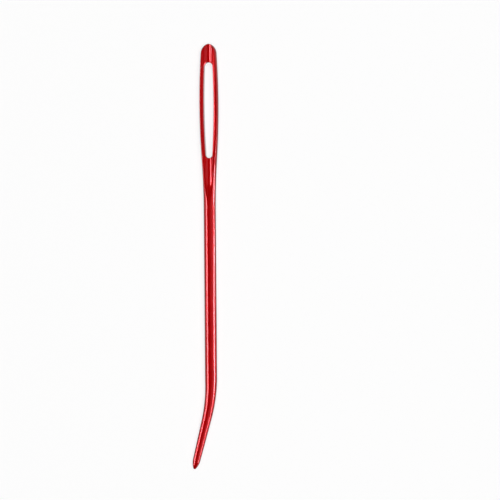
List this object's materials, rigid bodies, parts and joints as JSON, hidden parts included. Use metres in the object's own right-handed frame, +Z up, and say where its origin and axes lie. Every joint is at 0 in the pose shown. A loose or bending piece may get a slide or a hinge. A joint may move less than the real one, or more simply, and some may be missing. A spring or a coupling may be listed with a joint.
{
  "type": "bent-tip yarn needle",
  "caption": "Red anodised aluminium yarn needle with a large long eye in a flattened, guttered head, a round shank and a blunt bent tip.",
  "frame": {"origin": "middle of the bounding box, on the table that the needle lies on", "axes": "+Y along the straight shank towards the eye end, +Z up from the table, -X towards the side that the tip bends to"},
  "size_m": [0.0052, 0.078, 0.0023],
  "materials": {
    "red_anodised": "glossy red anodised, drawn wire"
  },
  "bodies": {
    "root": {"needle": "red_anodised"}
  },
  "joints": []
}
